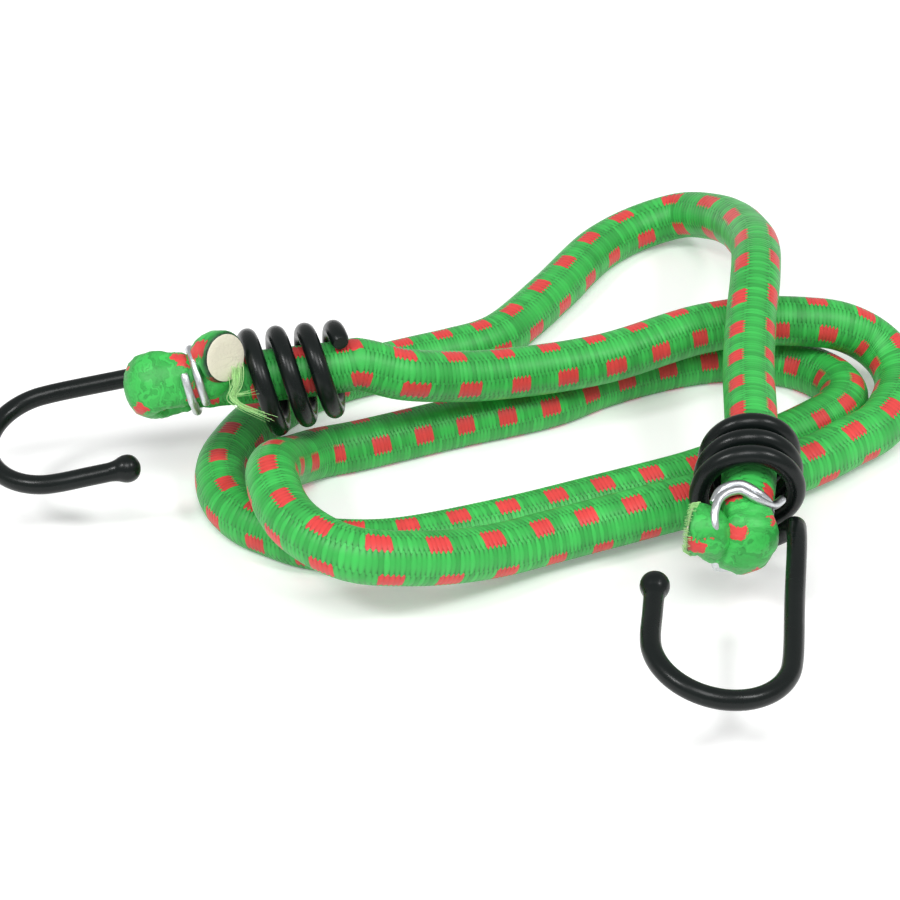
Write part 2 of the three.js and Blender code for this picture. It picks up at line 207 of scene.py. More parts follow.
class CordSettings(bpy.types.PropertyGroup):
    """Sizes and colours of the braided cord and its rubber."""
    diameter: length("Diameter", "Cord over its braid", 0.008)
    stretch_length: length("Stretch Length", "Cord that lengthens when an end is drawn out", 0.06)
    joint_gap: length("Joint Gap", "Left between two lengths of cord that meet", 0.0003)
    press_length: length("Press Length", "Over which the cord narrows towards the clip", 0.006)
    fold_gap: length("Fold Gap", "Between the cord and its own folded tail", 0.0005)
    lump: length("Lump", "Unevenness of the pressed ends", 0.0012)
    spot_pitch: length("Spot Pitch", "Along the cord, from one spot of a row to the next", 0.0077)
    spot_floats: count("Spot Floats", "Floats from one spot to the next", 12, 4)
    float_rows: count("Float Rows", "Rows of floats round the cord", 8, 4)
    relief: length("Relief", "How far a float stands proud of the valleys beside it", 0.00003)
    rings: count("Rings", "Rings of the braided tube to one float", 3, 2)
    sides: count("Sides", "Faces round the braided tube", 32, 16)
    rubber_radius: length("Rubber Radius", "Core inside the braid", 0.0029)
    ground: colour("Ground", "Yarn of the braid", (0.040, 0.440, 0.074))
    spot: colour("Spot", "Yarn of the spots", (0.710, 0.056, 0.052))
    frayed: colour("Frayed", "Loose yarn ends", (0.400, 0.740, 0.270))
    rubber: colour("Rubber", "Cut face of the core", (0.790, 0.745, 0.600))


class HookSettings(bpy.types.PropertyGroup):
    """Sizes and colours of the coated wire hooks."""
    wire: length("Wire", "Hook wire over its coat", 0.0029)
    coat_wall: length("Coat Wall", "Thickness of the coat", 0.0003)
    collar_clearance: length("Collar Clearance", "Between the cord and the collar's narrow end", 0.00036)
    collar_turns: ratio("Collar Turns", "Turns of the collar", 3.28)
    collar_pitch: length("Collar Pitch", "From one turn of the collar to the next", 0.00437)
    collar_taper: length("Collar Taper", "How much wider in radius the collar is at the hook", 0.00148)
    shank: length("Shank", "From the collar's mouth to the bend", 0.031)
    width: length("Width", "From the shank's centre line to the point's", 0.0196)
    bend_depth: length("Bend Depth", "How far the bend reaches past the shank", 0.01)
    point: length("Point", "Straight length after the bend", 0.0088)
    bead: length("Bead", "Across the rounded bead on the point", 0.0042)
    bead_length: length("Bead Length", "Along the rounded bead", 0.0036)
    coat: colour("Coat", "Dipped plastic", (0.0050, 0.0078, 0.0072))
    steel: colour("Steel", "Wire inside the coat", (0.42, 0.43, 0.44))


class ClipSettings(bpy.types.PropertyGroup):
    """Sizes and colour of the wire that binds each folded end."""
    wire: length("Wire", "Thickness of the binding wire", 0.0013)
    turns: ratio("Turns", "Turns round the cord and its tail", 1.25)
    bite: length("Bite", "How far the wire presses into the cord", 0.0003)
    zinc: colour("Zinc", "Plated wire", (0.690, 0.715, 0.735))


class StageSettings(bpy.types.PropertyGroup):
    """Camera, light and ground of the picture."""
    target: FloatVectorProperty(
        name="Target", description="Point in the middle of the picture", default=(-0.0025, 0.0035, 0),
        unit="LENGTH")
    elevation: FloatProperty(
        name="Elevation", description="Camera above the ground", default=math.radians(33), subtype="ANGLE")
    distance: length("Distance", "From the camera to the target", 0.457)
    lens: ratio("Lens", "Focal length in millimetres", 116)
    sky: ratio("Sky", "Even light from all round", 0.45)
    lamp: ratio("Lamp", "Power of each lamp in watts", 3.9)
    ground: colour("Ground", "Pale ground under the cord", (0.9, 0.9, 0.9))


# Paths

def smooth_curve(points, per_span=160):
    """Close points on the centripetal Catmull-Rom curve through the given ones."""
    points = np.asarray(points, float)
    points = np.vstack([2 * points[0] - points[1], points, 2 * points[-1] - points[-2]])
    t = np.linspace(0, 1, per_span, endpoint=False)[:, None]
    spans = []
    for before, start, stop, after in zip(points, points[1:], points[2:], points[3:]):
        lead, span, tail = (math.sqrt(max(np.linalg.norm(b - a), NO_LENGTH)) for a, b in (
            (before, start), (start, stop), (stop, after)))
        leave = span * ((start - before) / lead - (stop - before) / (lead + span) + (stop - start) / span)
        arrive = span * ((stop - start) / span - (after - start) / (span + tail) + (after - stop) / tail)
        spans.append(start + leave * t + (3 * (stop - start) - 2 * leave - arrive) * t ** 2
                     + (2 * (start - stop) + leave + arrive) * t ** 3)
    return np.vstack([*spans, points[-2:-1]])


def distances(points):
    """Distance along a line of points, at each point. Columns past the third are other values."""
    return np.concatenate([[0], np.cumsum(np.linalg.norm(np.diff(points[:, :3], axis=0), axis=1))])


def sampled(points, wanted):
    """The line's points at the wanted distances along it."""
    along = distances(points)
    return np.stack([np.interp(wanted, along, column) for column in points.T], axis=1)


def evenly(points, step):
    """The same line with its points about a step apart."""
    total = distances(points)[-1]
    return sampled(points, np.linspace(0, total, max(2, round(total / step) + 1)))


def headings(points):
    """The way that the line runs at each point."""
    steps = np.gradient(points, axis=0)
    return steps / np.linalg.norm(steps, axis=1)[:, None]


def carried(points, side):
    """A vector square to the line at each point, carried along without twist."""
    sides = []
    for heading in headings(points):
        side = side - heading * (side @ heading)
        side = side / np.linalg.norm(side)
        sides.append(side)
    return np.array(sides)


def placed(points, matrix):
    """Points of a local frame, in the shared one."""
    matrix = np.array(matrix)
    return np.asarray(points, float) @ matrix[:3, :3].T + matrix[:3, 3]


def end_frame(end):
    """Frame of one end: x out of the collar's mouth."""
    turn = Euler((0, math.radians(end["droop"]), math.radians(end["azimuth"])))
    return Matrix.Translation(end["mouth"]) @ turn.to_matrix().to_4x4()


def fold_place(end, hook, along, out, across):
    """A place in the end's frame: x out of the collar, out towards the tail, across the fold."""
    angle = math.radians(end["tail_angle"])
    lift = end["lean"] * max(0, along + hook.collar_turns * hook.collar_pitch)
    return np.array((along, out * math.cos(angle) - across * math.sin(angle),
                     out * math.sin(angle) + across * math.cos(angle) + lift))


def sections(end, cord):
    """Half thickness and half width of the cord where it is free, pressed and turned back."""
    radius = cord.diameter / 2
    return np.array((radius, radius)), np.array(end["neck"]) * radius, np.array(end["knob"]) * radius


def fold_line(end, settings):
    """Centre line of one folded end, from the collar's narrow end to the cut, in the end's frame.

    Its columns are the place, half the thickness, half the width, and the way that the clip presses.
    """
    cord, hook, clip = settings
    free, neck, knob = sections(end, cord)
    stations = []

    def add(along, out, across, first, second, share):
        stations.append((*fold_place(end, hook, along, out, across), *(first + (second - first) * share)))

    collar = -hook.collar_turns * hook.collar_pitch
    bend = neck[0] + cord.fold_gap / 2
    clip_back = end["clip_at"] - (end["clip_pitch"] * clip.turns + clip.wire) / 2
    for along in (collar - hook.wire / 2, collar):
        add(along, 0, 0, free, neck, 0)
    for share in (0, 0.5, 1):
        add(clip_back + cord.press_length * (share - 1), 0, 0, free, neck, share)
    for turn in np.radians(np.linspace(0, end["fold_turn"], HALF_TURN_STOPS)):
        swell = math.sin(turn)
        add(end["fold_at"] + bend * swell, bend * (1 - math.cos(turn)), end["skew"] * swell, neck, knob,
            KNOB_START + (1 - KNOB_START) * swell)
    if end["tail"][0][0] < clip_back:
        add(clip_back, 2 * bend, 0, neck, free, 0)
    for along, out, across, share in end["tail"]:
        add(along, out, across, neck, free, share)
    line = smooth_curve(stations)
    pressed = carried(line[:, :3], fold_place({**end, "lean": 0}, hook, 0, 1, 0))
    return np.hstack([line, pressed])


def placed_fold(end, settings):
    """A folded end in the shared frame, with the same columns."""
    line, matrix = fold_line(end, settings), end_frame(end)
    return np.hstack([placed(line[:, :3], matrix), line[:, 3:5], line[:, 5:] @ np.array(matrix)[:3, :3].T])


def cord_line(context):
    """The whole cord from cut to cut: its points and what the braided tube reads at each of them."""
    scene = context.scene
    cord, hook, clip = settings = scene.elastic_cord, scene.cord_hooks, scene.cord_clips
    folds = {name: placed_fold(end, settings) for name, end in ENDS.items()}
    back = -hook.collar_turns * hook.collar_pitch - hook.wire / 2 - cord.joint_gap
    inside = {}
    for name, end in ENDS.items():
        inside[name] = placed([(back, 0, 0), (back - COLLAR_LEAD, 0, 0)], end_frame(end))
        inside[name][1, 2] -= end["sag"]
    lay = smooth_curve([*inside["a"], *ROUTE, *inside["b"][::-1]])
    lay = np.hstack([lay, np.full((len(lay), 2), cord.diameter / 2), np.zeros((len(lay), 3))])
    whole = np.vstack([folds["a"][::-1], lay, folds["b"]])
    total, collar = distances(whole)[-1], distances(folds["a"])[-1]
    floats, wanted = pattern_steps(cord, -collar, total - collar)
    whole = sampled(whole, wanted + collar)
    along = distances(whole)
    collars = {"a": collar, "b": along[-1] - distances(folds["b"])[-1]}
    seams = {
        "a": int(np.searchsorted(along, collars["a"] + cord.joint_gap + cord.stretch_length)),
        "b": int(np.searchsorted(along, collars["b"] - cord.joint_gap - cord.stretch_length)),
    }
    size = whole[:, 3:5] - cord.relief / 2
    knot = np.zeros(len(whole))
    for name, end in ENDS.items():
        local = placed(whole[:, :3], end_frame(end).inverted())[:, 0]
        folded = along < collars["a"] if name == "a" else along > collars["b"]
        size -= (folded * clip.bite * np.exp(-((local - end["clip_at"]) / clip.wire) ** 4))[:, None]
        knot += folded * np.clip(local / end["clip_at"], 0, 1)
    cut = np.minimum(along, along[-1] - along)
    size -= ((1 - np.sqrt(1 - np.clip(1 - cut / RIM_LENGTH, 0, 1) ** 2)) * RIM_DROP)[:, None]
    press = whole[:, 5:] * np.sqrt(np.clip(1 - size[:, 0] / size[:, 1], 0, 1))[:, None]
    return {
        "points": whole[:, :3],
        "side": row_starts(whole[:, :3], along - collar),
        "girth": size[:, 1],
        "press": press,
        "knot": knot * np.clip(cut / CALM_LENGTH, 0, 1),
        "floats": floats,
        "cut": np.clip(1 - cut / CUT_DARK_LENGTH, 0, 1),
        "along": along,
        "collars": collars,
        "seams": seams,
    }


def pattern_steps(cord, start, stop):
    """Floats of the braid at even steps, and where along the cord each falls."""
    keys = np.array(PATTERN)
    before = keys[0, 2] + (start - keys[0, 0]) / cord.spot_pitch
    after = keys[-1, 2] + (stop - keys[-1, 0]) / cord.spot_pitch
    places = np.concatenate([[start], keys[:, 0], [stop]])
    spots = np.concatenate([[before], keys[:, 2], [after]])
    steps = np.linspace(before, after, round((after - before) * cord.spot_floats * cord.rings) + 1)
    return steps * cord.spot_floats + SPOT_MIDDLE, np.interp(steps, spots, places)


def row_starts(points, along):
    """Where the rows of floats start round the cord: carried from end A's collar, turned by the pattern."""
    middle = int(np.searchsorted(along, 0))
    up = np.array((0.0, 0.0, 1.0))
    sides = np.vstack([carried(points[middle::-1], up)[:0:-1], carried(points[middle:], up)])
    keys = np.array(PATTERN)
    turn = np.radians(np.interp(along, keys[:, 0], keys[:, 1]))[:, None]
    return np.cos(turn) * sides + np.sin(turn) * np.cross(headings(points), sides)


def hook_line(hook, cord):
    """Centre line of one hook in its own frame: x out of the collar, y from shank to point."""
    mouth = cord.diameter / 2 + hook.collar_clearance + hook.wire / 2 + hook.collar_taper
    collar_stops, bend_stops = 51, 13
    # The wire leaves the collar's last turn in a tucked corner, and runs straight along the shank
    last_turn, tuck, half_way = 0.1, 0.985, 0.6
    corner = hook.wire * 0.4
    straight = corner * 3.5
    points = []
    for turn in np.linspace(hook.collar_turns, last_turn, collar_stops):
        radius = mouth - hook.collar_taper * turn / hook.collar_turns
        angle = 2 * math.pi * turn
        points.append((-hook.collar_pitch * turn, -radius * math.cos(angle), radius * math.sin(angle)))
    points += [(corner, -mouth * tuck, corner), (straight, -mouth, 0), (hook.shank * half_way, -mouth, 0)]
    for turn in np.linspace(0, math.pi, bend_stops):
        points.append((
            hook.shank + hook.bend_depth * math.sin(turn), -mouth + hook.width / 2 * (1 - math.cos(turn)), 0))
    points += [(hook.shank - hook.point * share, hook.width - mouth, 0) for share in (0.5, 1)]
    return smooth_curve(points, per_span=40)


def clip_line(end, settings):
    """Centre line of the binding wire round the cord and its tail, in the end's frame."""
    cord, hook, clip = settings
    points = [fold_place(end, hook, *place) for place in end["clip"]]
    if not points:
        neck = sections(end, cord)[1]
        lobe = neck - clip.bite + clip.wire / 2
        for half in range(math.ceil(2 * clip.turns)):
            centre = 0 if half % 2 else 2 * neck[0] + cord.fold_gap
            for share in np.linspace(0, min(1, 2 * clip.turns - half), HALF_TURN_STOPS):
                turn = (half + share) / 2
                bearing = math.pi * (2 * turn - 0.5)
                along = end["clip_at"] + end["clip_pitch"] * (turn - clip.turns / 2)
                points.append(fold_place(
                    end, hook, along, centre + lobe[0] * math.cos(bearing), lobe[1] * math.sin(bearing)))
    return smooth_curve(points, per_span=24)


def fray_lines(end, hook, cut, chance):
    """Loose yarn at one cut, in the shared frame: locks along the end's lists, a fringe over the rim."""
    lines = []
    # A lock: how loose it is at its root, its waist and its tip, how far its threads stray and waver
    root, waist, tip, stray, waver = 1.0, 0.6, 0.7, 0.00031, 0.00012
    bends, shortest = (2, 7), 0.6
    for threads, *lock in end["fray"]:
        route = smooth_curve([fold_place(end, hook, *place) for place in lock], per_span=20)
        route = evenly(route, STEPS["thread"])
        loose = waist + np.abs(np.linspace(-root, tip, len(route)))[:, None]
        for _ in range(threads):
            wave = np.sin(np.linspace(0, chance.uniform(*bends), len(route)))[:, None]
            offset = chance.normal(0, stray, 3) + wave * chance.normal(0, waver, 3)
            stop = round(len(route) * chance.uniform(shortest, 1))
            lines.append(placed(route + offset * loose, end_frame(end))[:stop])
    # The fringe: where on the rim it grows, how deep it is rooted, how it curls and how far it reaches
    rim_share, rooted, curl, reach = (0.88, 1.0), 0.0008, (-0.0006, 0.0002), (0.0009, 0.0014)
    last_points, thread_points = 40, 7
    last = cut[-last_points:]
    ahead, side = headings(last[:, :3])[-1], carried(last[:, :3], last[0, 5:])[-1]
    steps = np.linspace(0, 1, thread_points)[:, None]
    for turn in chance.uniform(0, 2 * math.pi, end["fringe"]):
        rim = math.cos(turn) * side + math.sin(turn) * np.cross(ahead, side)
        start = cut[-1, :3] + rim * cut[-1, 3] * chance.uniform(*rim_share) - ahead * rooted
        bent = rim * chance.normal(*curl) + chance.normal(0, waver, 3)
        lines.append(start + ahead * chance.uniform(*reach) * steps + bent * steps ** 2)
    return lines


# Node trees

def feed(tree, node, inputs):
    """Sets a node's inputs, and wires those that are given an output."""
    for key, value in inputs.items():
        if isinstance(value, bpy.types.NodeSocket):
            tree.links.new(value, node.inputs[key])
        else:
            node.inputs[key].default_value = value


def put(tree, kind, inputs=None, **settings):
    """Adds a node, sets it up and feeds it."""
    node = tree.nodes.new(kind)
    for key, value in settings.items():
        setattr(node, key, value)
    feed(tree, node, inputs or {})
    return node


def made(tree, kind, inputs=None, **settings):
    """First output of a new node."""
    return put(tree, kind, inputs, **settings).outputs[0]


def sum_up(tree, operation, *values):
    """Output of a Math node."""
    return made(tree, "ShaderNodeMath", dict(enumerate(values)), operation=operation)


def times(tree, first, second):
    """One value times another."""
    return sum_up(tree, "MULTIPLY", first, second)


def less(tree, first, second):
    """One value less another."""
    return sum_up(tree, "SUBTRACT", first, second)


def point_up(tree, operation, *values):
    """Vector output of a Vector Math node."""
    return made(tree, "ShaderNodeVectorMath", dict(enumerate(values)), operation=operation)


def noise(tree, place, scale, detail=2.0, roughness=0.5, distortion=0.0):
    """Outputs of a Noise Texture."""
    return put(tree, "ShaderNodeTexNoise", {
        "Vector": place, "Scale": scale, "Detail": detail, "Roughness": roughness,
        "Distortion": distortion}).outputs


def parts_of(tree, vector):
    """The three parts of a vector."""
    return put(tree, "ShaderNodeSeparateXYZ", {0: vector}).outputs


def joined(tree, *parts):
    """A vector of up to three parts."""
    return made(tree, "ShaderNodeCombineXYZ", dict(enumerate(parts)))


def read(tree, name, kind="FLOAT"):
    """Output of a named attribute in a geometry tree."""
    return made(tree, "GeometryNodeInputNamedAttribute", {"Name": name}, data_type=kind)


def geometry_tree(name, sockets):
    """An empty geometry tree with named inputs."""
    tree = bpy.data.node_groups.new(name, "GeometryNodeTree")
    tree.interface.new_socket("Geometry", in_out="INPUT", socket_type="NodeSocketGeometry")
    tree.interface.new_socket("Geometry", in_out="OUTPUT", socket_type="NodeSocketGeometry")
    for label, kind in sockets:
        tree.interface.new_socket(label, in_out="INPUT", socket_type=f"NodeSocket{kind}")
    return tree, tree.nodes.new("NodeGroupInput").outputs


def close_tree(tree, geometry, material):
    """Ends a geometry tree in a plain mesh with its material."""
    plain = made(tree, "GeometryNodeRealizeInstances", {"Geometry": geometry})
    dressed = made(tree, "GeometryNodeSetMaterial", {"Geometry": plain, "Material": material})
    put(tree, "NodeGroupOutput", {"Geometry": dressed})
    return tree


def stored(tree, geometry, name, value, kind="FLOAT", domain="POINT"):
    """A geometry with one more named attribute."""
    return made(tree, "GeometryNodeStoreNamedAttribute", {"Geometry": geometry, "Name": name, "Value": value},
                data_type=kind, domain=domain)


def pushed(tree, geometry, way, reach):
    """A geometry with its points pushed along a vector."""
    offset = made(tree, "ShaderNodeVectorMath", {0: way, "Scale": reach}, operation="SCALE")
    return made(tree, "GeometryNodeSetPosition", {"Geometry": geometry, "Offset": offset})


def unit_ring(tree, sides):
    """A circle that is scaled along a line."""
    return made(tree, "GeometryNodeCurvePrimitiveCircle", {"Resolution": sides, "Radius": 1.0})


def braided_tube_tree():
    """A tube along a line: pressed flat where its line says, with ribs of floats and a flat where it lies."""
    tree, given = geometry_tree("Braided Tube", (
        ("Sides", "Int"), ("Rows", "Int"), ("Relief", "Float"), ("Lump", "Float"), ("Material", "Material")))
    line = made(tree, "GeometryNodeMeshToCurve", {"Mesh": given["Geometry"]})
    line = made(tree, "GeometryNodeSetCurveNormal",
                {"Curve": line, "Normal": read(tree, "side", "FLOAT_VECTOR")}, mode="FREE")
    place = made(tree, "GeometryNodeInputPosition")
    line = stored(tree, line, "axis", place, "FLOAT_VECTOR")
    turn = sum_up(tree, "DIVIDE", made(tree, "GeometryNodeInputIndex"), given["Sides"])
    ring = stored(tree, unit_ring(tree, given["Sides"]), "row", times(tree, turn, given["Rows"]))
    tube = made(tree, "GeometryNodeCurveToMesh", {
        "Curve": line, "Profile Curve": ring, "Scale": read(tree, "girth")})

    # Ribs and lumps stand out of the round tube
    row, floats = read(tree, "row"), read(tree, "floats")
    outward = point_up(tree, "SUBTRACT", place, read(tree, "axis", "FLOAT_VECTOR"))
    rib = times(tree, sum_up(tree, "COSINE", times(tree, floats, math.tau)),
                sum_up(tree, "SINE", times(tree, row, math.pi)))
    rib = times(tree, rib, less(tree, 1.0, read(tree, "cut")))
    rib = times(tree, rib, times(tree, given["Relief"], 0.5))
    lump = less(tree, noise(tree, place, scale=330.0, detail=3.0)[0], 0.5)
    dent = times(tree, lump, times(tree, read(tree, "knot"), given["Lump"]))
    tube = pushed(tree, tube, point_up(tree, "NORMALIZE", outward), sum_up(tree, "ADD", rib, dent))

    # A clip presses it in, and the ground flattens it
    press = read(tree, "press", "FLOAT_VECTOR")
    reach = put(tree, "ShaderNodeVectorMath", {0: outward, 1: press}, operation="DOT_PRODUCT").outputs
    tube = pushed(tree, tube, press, times(tree, reach["Value"], -1.0))
    x, y, z = parts_of(tree, place)
    rested = joined(tree, x, y, sum_up(tree, "MAXIMUM", z, 0.0))
    tube = made(tree, "GeometryNodeSetPosition", {"Geometry": tube, "Position": rested})

    # Floats and rows become the map that the yarn is drawn on
    middle = made(tree, "GeometryNodeFieldOnDomain", {"Value": row}, domain="FACE", data_type="FLOAT")
    wraps = sum_up(tree, "GREATER_THAN", less(tree, middle, row), 1.0)
    unwrapped = sum_up(tree, "ADD", row, times(tree, wraps, given["Rows"]))
    tube = stored(tree, tube, "UVMap", joined(tree, floats, unwrapped), "FLOAT2", "CORNER")
    tube = made(tree, "GeometryNodeSetShadeSmooth", {"Geometry": tube})
    return close_tree(tree, tube, given["Material"])


def swept_wire_tree():
    """Round rods along lines, each as thick as its line says, with flat ends."""
    tree, given = geometry_tree("Swept Wire", (("Sides", "Int"), ("Material", "Material")))
    line = made(tree, "GeometryNodeMeshToCurve", {"Mesh": given["Geometry"]})
    rod = made(tree, "GeometryNodeCurveToMesh", {
        "Curve": line, "Profile Curve": unit_ring(tree, given["Sides"]), "Scale": read(tree, "girth"),
        "Fill Caps": True})
    # A face of the round side has four corners, a flat end has more
    side_corners = 4.5
    corners = put(tree, "GeometryNodeInputMeshFaceNeighbors").outputs["Vertex Count"]
    round_side = sum_up(tree, "LESS_THAN", corners, side_corners)
    rod = made(tree, "GeometryNodeSetShadeSmooth", {"Geometry": rod, "Shade Smooth": round_side})
    return close_tree(tree, rod, given["Material"])


def strand(name, lines, **values):
    """A mesh of open lines of points, with values stored at the points for a geometry tree to read."""
    points = np.vstack(lines)
    starts = np.cumsum([0] + [len(line) for line in lines])
    edges = [(i, i + 1) for a, b in zip(starts, starts[1:]) for i in range(a, b - 1)]
    mesh = bpy.data.meshes.new(name)
    mesh.from_pydata(points.tolist(), edges, [])
    for key, value in values.items():
        value = np.asarray(value, np.float32)
        flat = value.ndim == 1
        layer = mesh.attributes.new(key, "FLOAT" if flat else "FLOAT_VECTOR", "POINT")
        layer.data.foreach_set("value" if flat else "vector", value.ravel())
    piece = bpy.data.objects.new(name, mesh)
    bpy.context.scene.collection.objects.link(piece)
    return piece


def grown(piece, tree, **inputs):
    """Runs a geometry tree on a piece and leaves its result as a plain mesh."""
    modifier = piece.modifiers.new(tree.name, "NODES")
    modifier.node_group = tree
    sockets = {item.name: item.identifier for item in tree.interface.items_tree if item.in_out == "INPUT"}
    for label, value in inputs.items():
        modifier[sockets[label]] = value
    depsgraph = bpy.context.evaluated_depsgraph_get()
    mesh = bpy.data.meshes.new_from_object(piece.evaluated_get(depsgraph), depsgraph=depsgraph)
    piece.modifiers.clear()
    rough, piece.data = piece.data, mesh
    mesh.name = piece.name
    bpy.data.meshes.remove(rough)
    working = ("side", "axis", "girth", "floats", "row", "press")
    for spare in [layer.name for layer in mesh.attributes if layer.name in working]:
        mesh.attributes.remove(mesh.attributes[spare])
    if not len(mesh.polygons):
        raise RuntimeError(f"{piece.name} came out empty")
    return piece


def shared(name, make):
    """A node tree or material that is made once."""
    known = {**bpy.data.node_groups, **bpy.data.materials}
    return known.get(name) or make()


def rod(name, lines, girth, kind, material):
    """One piece of round rods along lines."""
    tree = shared("Swept Wire", swept_wire_tree)
    return grown(strand(name, lines, girth=girth), tree, Sides=SIDES[kind], Material=material)


# Finishes

def shader_group(name, inputs, outputs):
    """An empty shader group with named number sockets."""
    tree = bpy.data.node_groups.new(name, "ShaderNodeTree")
    for label, default in inputs:
        kind = "Vector" if default is None else "Float"
        socket = tree.interface.new_socket(label, in_out="INPUT", socket_type=f"NodeSocket{kind}")
        if default is not None:
            socket.default_value = default
    for label in outputs:
        tree.interface.new_socket(label, in_out="OUTPUT", socket_type="NodeSocketFloat")
    return tree, tree.nodes.new("NodeGroupInput").outputs


def braid_floats_group():
    """Reads where a point lies in the braid: which float it is on, and where on it."""
    tree, given = shader_group(
        "Braid Floats", (
            ("Floats", 0.0), ("Rows", 0.0), ("Zigzag", 0.08), ("Narrow", 0.08), ("Lean", -0.2),
            ("Repeat", 12.0), ("Around", 8.0), ("Spot Length", 4.5)),
        ("Spot", "Height", "Tint"))
    roundness, end_power, middle_bite = 0.8, 2.5, 0.15

    # Rows meet in a zigzag, and floats lean across their row
    wave = sum_up(tree, "COSINE", times(tree, given["Floats"], math.tau))
    swing = sum_up(tree, "COSINE", times(tree, given["Rows"], math.pi))
    edge = less(tree, times(tree, wave, given["Zigzag"]), given["Narrow"])
    bent = sum_up(tree, "ADD", given["Rows"], times(tree, swing, edge))
    row = sum_up(tree, "FLOOR", bent)
    along_float = less(tree, bent, row)
    odd = sum_up(tree, "FLOORED_MODULO", row, 2.0)
    lean = times(tree, less(tree, along_float, 0.5), given["Lean"])
    place = sum_up(tree, "ADD", sum_up(tree, "ADD", given["Floats"], lean),
                   sum_up(tree, "MULTIPLY_ADD", odd, 0.5, 0.5))
    number = sum_up(tree, "FLOOR", place)
    across = less(tree, place, number)

    # Every other row carries spots, each row further on than the last
    shift = times(tree, row, sum_up(tree, "DIVIDE", given["Repeat"], given["Around"]))
    step = sum_up(tree, "FLOORED_MODULO", less(tree, number, shift), given["Repeat"])
    red = times(tree, sum_up(tree, "LESS_THAN", step, given["Spot Length"]), less(tree, 1.0, odd))

    # A float is round across, and dips most at its ends
    crown = sum_up(tree, "POWER", sum_up(tree, "SINE", times(tree, across, math.pi)), roundness)
    end = sum_up(tree, "ABSOLUTE", sum_up(tree, "MULTIPLY_ADD", along_float, 2.0, -1.0))
    bite = sum_up(tree, "MULTIPLY_ADD", sum_up(tree, "POWER", end, end_power), 1 - middle_bite, middle_bite)
    height = less(tree, 1.0, times(tree, less(tree, 1.0, crown), bite))
    pair = joined(tree, number, sum_up(tree, "FLOORED_MODULO", row, given["Around"]))
    tint = made(tree, "ShaderNodeTexWhiteNoise", {"Vector": pair}, noise_dimensions="2D")
    put(tree, "NodeGroupOutput", {"Spot": red, "Height": height, "Tint": tint})
    return tree


def surface_marks_group():
    """Uneven gloss, soft mottling and sparse rubbed marks for a handled surface."""
    tree, given = shader_group(
        "Surface Marks", (("Position", None), ("Size", 400.0), ("Rubbed", 0.6)), ("Mottle", "Grain", "Rub"))
    place, fine, patchy, rub_edge = given["Position"], 7.0, 2.3, 0.1
    mottle = noise(tree, place, given["Size"], detail=3.0)
    grain = noise(tree, place, times(tree, given["Size"], fine), detail=2.0)
    patch = noise(tree, place, times(tree, given["Size"], patchy), detail=5.0, roughness=0.7, distortion=0.6)
    rub = made(tree, "ShaderNodeMapRange", {
        "Value": patch[0], "From Min": given["Rubbed"],
        "From Max": sum_up(tree, "ADD", given["Rubbed"], rub_edge)})
    put(tree, "NodeGroupOutput", {"Mottle": mottle[0], "Grain": grain[0], "Rub": rub})
    return tree


def finish(name):
    """A new material: its tree and its shader."""
    material = bpy.data.materials.new(name)
    material.use_nodes = True
    return material, material.node_tree, material.node_tree.nodes["Principled BSDF"]


def mixed(tree, share, first, second, blend="MIX"):
    """Output of a colour Mix node."""
    return put(tree, "ShaderNodeMix", {0: share, 6: first, 7: second},
               data_type="RGBA", blend_type=blend).outputs[2]


def ranged(tree, value, low, high):
    """A 0 to 1 value spread over another range."""
    return made(tree, "ShaderNodeMapRange", {"Value": value, "To Min": low, "To Max": high})


def shade(tone, factor):
    """A colour made lighter or darker."""
    return (*(min(1.0, c * factor) for c in list(tone)[:3]), 1)


def toned(tree, share, tone, dark, light):
    """A colour between a darker and a lighter one of its own."""
    return mixed(tree, share, shade(tone, dark), shade(tone, light))


def object_place(tree):
    """Where a point lies on its own piece."""
    return put(tree, "ShaderNodeTexCoord").outputs["Object"]


def varying(tree, name):
    """A value that the mesh carries."""
    return put(tree, "ShaderNodeAttribute", attribute_name=name).outputs["Fac"]


def marks(tree, size, rubbed=0.6):
    """The surface marks of one material, on its own scale."""
    return put(tree, "ShaderNodeGroup", {"Position": object_place(tree), "Size": size, "Rubbed": rubbed},
               node_tree=shared("Surface Marks", surface_marks_group)).outputs


def bump(tree, height, distance, strength=1.0):
    """Fine relief for a shader."""
    return made(tree, "ShaderNodeBump", {"Height": height, "Distance": distance, "Strength": strength})


